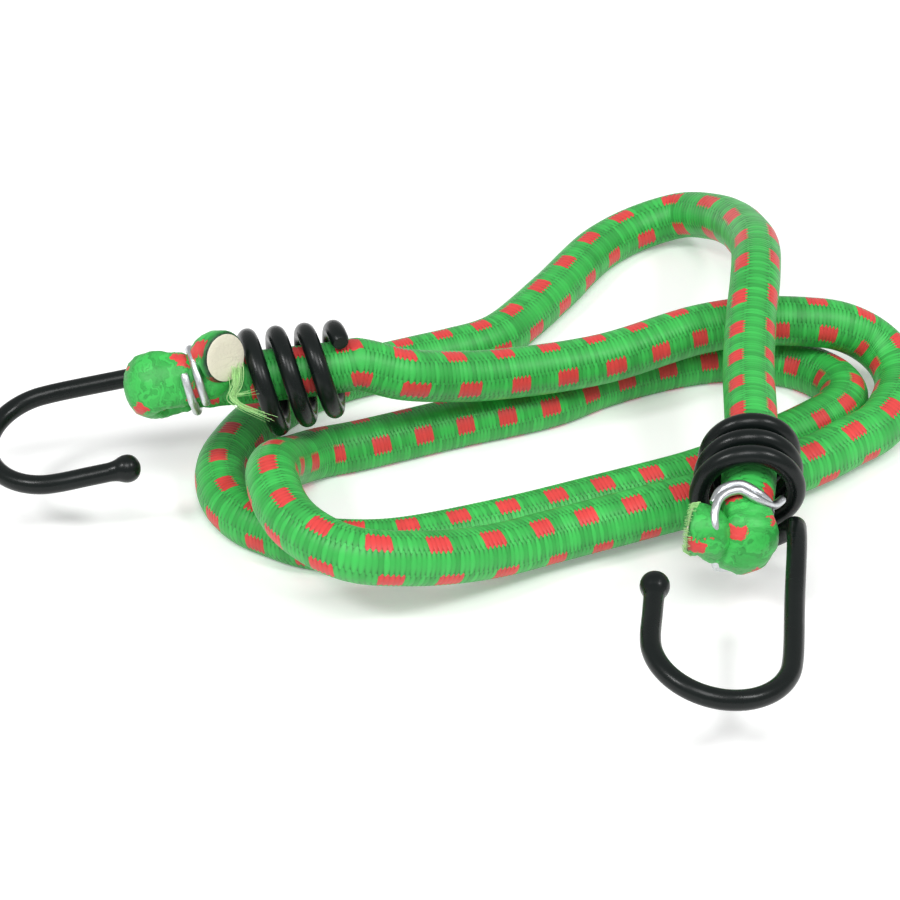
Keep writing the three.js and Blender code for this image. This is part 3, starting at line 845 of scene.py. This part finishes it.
def braid_finish(cord):
    """Satin yarn in two colours, with painted shade in the valleys between the floats and at their ends, rumpled
    where folded, darker at the cut.
    """
    material, tree, shader = finish("braided yarn")
    mark, knot = marks(tree, size=160.0), varying(tree, "knot")
    # The two valley shares set how dark the painted shade between the floats goes on green yarn and on spots
    spot_length, green_valley_shade, spot_valley_shade, cut_dark_tone = 4.5, 0.26, 0.31, (0.006, 0.030, 0.014, 1)
    # In a knot: floats and rows that the yarn is pulled by, floats that a spot loses, how much lighter its
    # painted valley shade, lower its ribs and deeper its creases are
    float_pull, row_pull, spot_loss, knot_valley_shade, knot_rib, knot_crease = 9.0, 1.6, -2.0, 0.3, -0.6, 3.0

    uv = parts_of(tree, made(tree, "ShaderNodeUVMap", uv_map="UVMap"))
    rumple = noise(tree, object_place(tree), scale=420.0, detail=3.0)
    pulled = parts_of(tree, point_up(tree, "SUBTRACT", rumple["Color"], (0.5, 0.5, 0.5)))
    braid = put(tree, "ShaderNodeGroup", {
        "Floats": sum_up(tree, "MULTIPLY_ADD", times(tree, pulled[0], knot), float_pull, uv[0]),
        "Rows": sum_up(tree, "MULTIPLY_ADD", times(tree, pulled[1], knot), row_pull, uv[1]),
        "Repeat": cord.spot_floats,
        "Around": cord.float_rows,
        "Spot Length": sum_up(tree, "MULTIPLY_ADD", knot, spot_loss, spot_length),
    }, node_tree=shared("Braid Floats", braid_floats_group)).outputs

    green = toned(tree, braid["Tint"], cord.ground, dark=0.78, light=1.22)
    red = toned(tree, braid["Tint"], cord.spot, dark=0.94, light=1.05)
    yarn = mixed(tree, braid["Spot"], green, red)
    worn = mixed(tree, 1.0, yarn, ranged(tree, mark["Mottle"], low=0.84, high=1.14), "MULTIPLY")
    # Painted shade: the yarn darkens towards the valleys between the floats and at their ends, less on spots and
    # in a knot
    valley_shade = sum_up(tree, "MULTIPLY_ADD", braid["Spot"], spot_valley_shade, green_valley_shade)
    valley_shade = sum_up(tree, "MULTIPLY_ADD", knot, knot_valley_shade, valley_shade)
    shaded_yarn = mixed(tree, 1.0, worn, ranged(tree, braid["Height"], low=valley_shade, high=1.05), "MULTIPLY")
    # The yarn is painted darker, unevenly, over the last stretch before each cut
    cut_darkening = times(tree, varying(tree, "cut"), ranged(tree, mark["Grain"], low=0.7, high=1.6))
    rib = times(tree, braid["Height"], sum_up(tree, "MULTIPLY_ADD", knot, knot_rib, 1.0))
    crease = times(tree, times(tree, rumple["Fac"], knot), knot_crease)
    feed(tree, shader, {
        "Base Color": mixed(tree, sum_up(tree, "MINIMUM", cut_darkening, 1.0), shaded_yarn, cut_dark_tone),
        "Roughness": ranged(tree, mark["Grain"], low=0.36, high=0.54),
        "Specular IOR Level": 0.4,
        "Sheen Weight": 0.06,
        "Sheen Roughness": 0.35,
        "Sheen Tint": (0.7, 1.0, 0.72, 1),
        "Normal": bump(tree, sum_up(tree, "ADD", rib, crease), distance=0.0001),
    })
    return material


def frayed_finish(cord):
    """Loose yarn, bleached along its length."""
    material, tree, shader = finish("frayed yarn")
    mark = marks(tree, size=700.0)
    feed(tree, shader, {
        "Base Color": toned(tree, mark["Mottle"], cord.frayed, dark=0.7, light=1.3),
        "Roughness": ranged(tree, mark["Grain"], low=0.5, high=0.75),
        "Sheen Weight": 0.3,
        "Normal": bump(tree, mark["Grain"], distance=0.00004),
    })
    return material


def rubber_finish(cord):
    """Matt cream rubber with fine cuts."""
    material, tree, shader = finish("cream rubber")
    mark = marks(tree, size=330.0)
    crack_width, crack_share, crack_depth, crack_tone = 0.06, 0.4, -0.6, (0.30, 0.27, 0.22, 1)
    stretched = made(tree, "ShaderNodeMapping", {"Vector": object_place(tree), "Scale": (0.5, 0.5, 2.2)})
    cells = put(tree, "ShaderNodeTexVoronoi", {"Vector": stretched, "Scale": 520.0},
                feature="DISTANCE_TO_EDGE").outputs
    crack = made(tree, "ShaderNodeMapRange", {
        "Value": cells["Distance"], "From Max": crack_width, "To Min": 1.0, "To Max": 0.0})
    crack = times(tree, crack, ranged(tree, mark["Mottle"], low=-0.6, high=1.1))
    crack = sum_up(tree, "MAXIMUM", crack, 0.0)
    cream = toned(tree, mark["Mottle"], cord.rubber, dark=0.9, light=1.08)
    height = sum_up(tree, "MULTIPLY_ADD", crack, crack_depth, mark["Grain"])
    feed(tree, shader, {
        "Base Color": mixed(tree, times(tree, crack, crack_share), cream, crack_tone),
        "Roughness": ranged(tree, mark["Grain"], low=0.6, high=0.85),
        "Normal": bump(tree, height, distance=0.00008),
    })
    return material


def coat_finish(hook):
    """Black dipped plastic: soft orange peel, uneven gloss, a few rubbed marks."""
    material, tree, shader = finish("black dip coat")
    mark = marks(tree, size=260.0, rubbed=0.66)
    rub_share, rub_dull, grain_share, rub_tone = 0.2, 0.15, 0.15, (0.05, 0.052, 0.054, 1)
    base = toned(tree, mark["Mottle"], hook.coat, dark=0.8, light=1.3)
    gloss = ranged(tree, mark["Mottle"], low=0.22, high=0.34)
    height = sum_up(tree, "MULTIPLY_ADD", mark["Grain"], grain_share, mark["Mottle"])
    feed(tree, shader, {
        "Base Color": mixed(tree, times(tree, mark["Rub"], rub_share), base, rub_tone),
        "Roughness": sum_up(tree, "MULTIPLY_ADD", mark["Rub"], rub_dull, gloss),
        "Specular IOR Level": 0.26,
        "Normal": bump(tree, height, distance=0.00012, strength=0.5),
    })
    return material


def metal_finish(name, tone, size, smooth, rough):
    """Bare wire: drawn streaks, dull patches."""
    material, tree, shader = finish(name)
    mark = marks(tree, size, rubbed=0.55)
    dull_share, dull_tone = 0.5, 0.55
    base = toned(tree, mark["Mottle"], tone, dark=0.82, light=1.12)
    feed(tree, shader, {
        "Base Color": mixed(tree, times(tree, mark["Rub"], dull_share), base, shade(tone, dull_tone)),
        "Roughness": ranged(tree, mark["Grain"], smooth, rough),
        "Metallic": 1.0,
        "Normal": bump(tree, mark["Grain"], distance=0.00005),
    })
    return material


def ground_finish(stage):
    """Pale ground that stays white in the picture and keeps the cord's shadow."""
    material, tree, shader = finish("pale ground")
    glow_strength = 0.22
    cloud = noise(tree, object_place(tree), scale=3.0)[0]
    feed(tree, shader, {
        "Base Color": toned(tree, cloud, stage.ground, dark=0.99, light=1.01),
        "Roughness": 0.9,
        "Specular IOR Level": 0.1,
    })
    path = put(tree, "ShaderNodeLightPath").outputs
    seen = sum_up(tree, "MAXIMUM", path["Is Camera Ray"],
                  sum_up(tree, "MAXIMUM", path["Is Glossy Ray"], path["Is Transmission Ray"]))
    glow = made(tree, "ShaderNodeEmission", {"Strength": times(tree, seen, glow_strength)})
    both = made(tree, "ShaderNodeAddShader", {0: shader.outputs[0], 1: glow})
    feed(tree, tree.nodes["Material Output"], {"Surface": both})
    return material


# Pieces

class ELASTICCORD_OT_lay_cord(bpy.types.Operator):
    """Lay the braided cord in its loops"""
    bl_idname = "elasticcord.lay_cord"
    bl_label = "Lay the Cord"

    def execute(self, context):
        cord = context.scene.elastic_cord
        line = cord_line(context)
        yarn = shared("braided yarn", lambda: braid_finish(cord))
        tree = shared("Braided Tube", braided_tube_tree)
        runs = (
            ("cord_braid", None, line["seams"]["a"], line["seams"]["b"] + 1),
            ("end_a_braid", "a", 0, line["seams"]["a"] + 1),
            ("end_b_braid", "b", line["seams"]["b"], len(line["points"])),
        )
        for name, end, start, stop in runs:
            route = line["points"][start:stop]
            values = {
                key: line[key][start:stop] for key in ("side", "girth", "press", "knot", "floats", "cut")}
            piece = grown(
                strand(name, [route], **values), tree, Sides=cord.sides, Rows=cord.float_rows,
                Relief=cord.relief, Lump=cord.lump, Material=yarn)
            if name == "cord_braid":
                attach(piece, "loops")
                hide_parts("cord_sleeve", "cord_core")
            else:
                collar = line["points"][np.searchsorted(line["along"], line["collars"][end])]
                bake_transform(piece, "loops", f"end_{end}", start=line["points"][line["seams"][end]], end=collar)
                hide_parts(f"stretch_{end}_sleeve", f"stretch_{end}_core", f"end_{end}_sleeve")
                route = route[::-1] if end == "a" else route
        return {"FINISHED"}


class ELASTICCORD_OT_fill_ends(bpy.types.Operator):
    """Put the rubber into the two cut ends and let their yarn fray"""
    bl_idname = "elasticcord.fill_ends"
    bl_label = "Fill the Ends"

    def execute(self, context):
        scene = context.scene
        cord, hook, _ = settings = scene.elastic_cord, scene.cord_hooks, scene.cord_clips
        rubber = shared("cream rubber", lambda: rubber_finish(cord))
        yarn = shared("frayed yarn", lambda: frayed_finish(cord))
        for number, (name, end) in enumerate(ENDS.items()):
            cut = evenly(placed_fold(end, settings), STEPS["rubber"])
            line = cut[:, :3]
            girth = np.minimum(cord.rubber_radius, cut[:, 3] - RUBBER_INSET)
            swell = np.clip(1 - (distances(line)[-1] - distances(line)) / SWELL_LENGTH, 0, 1)
            girth += swell ** 2 * (cut[-1, 3] - RUBBER_INSET - girth)
            out = line[-1] - line[-2]
            out /= np.linalg.norm(out)
            rises, shares = np.array(FACE).T
            line = np.vstack([line, line[-1] + np.outer(rises, out)])
            girth = np.concatenate([girth, girth[-1] * shares])
            piece = rod(f"end_{name}_rubber", [line], girth, "rubber", rubber)
            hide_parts(f"end_{name}_core")
            chance = np.random.default_rng(number + FRAY_SEED)
            lines = fray_lines(end, hook, cut, chance)
            girth = [np.linspace(1, THREAD_TIP, len(line)) * chance.uniform(*THREAD) for line in lines]
            loose = rod(f"end_{name}_fray", lines, np.concatenate(girth), "thread", yarn)
            for each in (piece, loose):
                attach(each, f"end_{name}")
        return {"FINISHED"}


class ELASTICCORD_OT_wind_clips(bpy.types.Operator):
    """Wind the binding wire round each folded end"""
    bl_idname = "elasticcord.wind_clips"
    bl_label = "Wind the Clips"

    def execute(self, context):
        scene, clip = context.scene, context.scene.cord_clips
        settings = scene.elastic_cord, scene.cord_hooks, clip
        zinc = shared("bright zinc", lambda: metal_finish(
            "bright zinc", clip.zinc, size=900.0, smooth=0.22, rough=0.42))
        for name, end in ENDS.items():
            line = evenly(placed(clip_line(end, settings), end_frame(end)), STEPS["clip"])
            girth = np.full(len(line), clip.wire / 2)
            girth[[0, -1]] *= CLIP_NIP
            piece = rod(f"clip_{name}_wire", [line], girth, "clip", zinc)
            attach(piece, f"end_{name}")
            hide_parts(f"clip_{name}")
        return {"FINISHED"}


class ELASTICCORD_OT_form_hooks(bpy.types.Operator):
    """Form the coated hooks, their steel and the beads on their points"""
    bl_idname = "elasticcord.form_hooks"
    bl_label = "Form the Hooks"

    def execute(self, context):
        cord, hook = context.scene.elastic_cord, context.scene.cord_hooks
        coat = shared("black dip coat", lambda: coat_finish(hook))
        steel = shared("drawn steel", lambda: metal_finish(
            "drawn steel", hook.steel, size=800.0, smooth=0.3, rough=0.5))
        line = evenly(hook_line(hook, cord), STEPS["coat"])
        profile = smooth_curve([(*station, 0) for station in BEAD], per_span=4)
        inset = 3
        for name, end in ENDS.items():
            matrix = end_frame(end) @ Matrix.Rotation(math.radians(end["roll"]), 4, "X")
            here = placed(line, matrix)
            girth = np.full(len(here), hook.wire / 2)
            girth[:len(CUT_ROUND)] *= CUT_ROUND
            piece = rod(f"hook_{name}_coating", [here], girth, "coat", coat)
            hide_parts(f"hook_{name}_coat")
            core = here[inset:-inset:inset]
            girth = np.full(len(core), hook.wire / 2 - hook.coat_wall)
            inner = rod(f"hook_{name}_steel", [core], girth, "steel", steel)
            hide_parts(f"hook_{name}_wire")
            ahead = (here[-1] - here[-3]) / np.linalg.norm(here[-1] - here[-3])
            axis = here[-1] + np.outer(profile[:, 0], ahead) * hook.bead_length
            ball = rod(f"hook_{name}_bead", [axis], profile[:, 1] * hook.bead / 2, "coat", coat)
            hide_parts(f"hook_{name}_tip")
            for each in (piece, inner, ball):
                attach(each, f"hook_{name}")
        return {"FINISHED"}


class ELASTICCORD_OT_set_stage(bpy.types.Operator):
    """Set the pale ground, the soft light and the camera"""
    bl_idname = "elasticcord.set_stage"
    bl_label = "Set the Stage"

    def execute(self, context):
        scene, stage = context.scene, context.scene.cord_stage
        target = Vector(stage.target)
        reach, low = 3.0, -0.00004
        corners = [(x * reach, y * reach, low) for x, y in ((-1, -1), (1, -1), (1, 1), (-1, 1))]
        mesh = bpy.data.meshes.new("ground")
        mesh.from_pydata(corners, [], [(0, 1, 2, 3)])
        mesh.materials.append(ground_finish(stage))
        ground = bpy.data.objects.new("ground", mesh)
        scene.collection.objects.link(ground)

        world = bpy.data.worlds.new("even light")
        world.use_nodes = True
        sky = world.node_tree.nodes["Background"]
        feed(world.node_tree, sky, {"Color": (1, 1, 1, 1), "Strength": stage.sky})
        scene.world = world

        for name, place, size, power in LAMPS:
            lamp = bpy.data.lights.new(name, "AREA")
            lamp.shape, lamp.size, lamp.energy = "DISK", size, stage.lamp * power
            holder = bpy.data.objects.new(name, lamp)
            holder.location = place
            holder.rotation_euler = (target - Vector(place)).to_track_quat("-Z", "Y").to_euler()
            scene.collection.objects.link(holder)

        lens = bpy.data.cameras.new("camera")
        lens.lens, lens.sensor_width = stage.lens, 36
        lens.clip_start, lens.clip_end = 0.01, 20
        camera = bpy.data.objects.new("camera", lens)
        rise = stage.elevation
        camera.location = target + stage.distance * Vector((0, -math.cos(rise), math.sin(rise)))
        camera.rotation_euler = (math.pi / 2 - rise, 0, 0)
        scene.collection.objects.link(camera)
        scene.camera = camera
        scene.view_settings.view_transform = "Standard"
        return {"FINISHED"}


class ELASTICCORD_PT_pieces(bpy.types.Panel):
    """Sizes, colours and the making of each piece"""
    bl_idname = "ELASTICCORD_PT_pieces"
    bl_label = "Elastic Cord"
    bl_space_type = "VIEW_3D"
    bl_region_type = "UI"
    bl_category = "Elastic Cord"

    def draw(self, context):
        for operator in OPERATORS:
            self.layout.operator(operator.bl_idname)
        for name in GROUPS:
            settings = getattr(context.scene, name)
            box = self.layout.box()
            box.label(text=name.replace("_", " ").title())
            for key in settings.__annotations__:
                box.prop(settings, key)


OPERATORS = (
    ELASTICCORD_OT_lay_cord, ELASTICCORD_OT_fill_ends, ELASTICCORD_OT_wind_clips, ELASTICCORD_OT_form_hooks,
    ELASTICCORD_OT_set_stage)
GROUPS = {
    "elastic_cord": CordSettings, "cord_hooks": HookSettings, "cord_clips": ClipSettings,
    "cord_stage": StageSettings}


def register():
    """Makes the classes and the settings known."""
    for each in (*GROUPS.values(), *OPERATORS, ELASTICCORD_PT_pieces):
        bpy.utils.register_class(each)
    for name, group in GROUPS.items():
        setattr(bpy.types.Scene, name, PointerProperty(type=group))


def unregister():
    """Takes the settings and the classes away again."""
    for name in GROUPS:
        delattr(bpy.types.Scene, name)
    for each in reversed((*GROUPS.values(), *OPERATORS, ELASTICCORD_PT_pieces)):
        bpy.utils.unregister_class(each)


def main():
    """Makes every piece and the stage."""
    register()
    bpy.ops.elasticcord.lay_cord()
    bpy.ops.elasticcord.fill_ends()
    bpy.ops.elasticcord.wind_clips()
    bpy.ops.elasticcord.form_hooks()
    bpy.ops.elasticcord.set_stage()


if __name__ == "__main__":
    main()
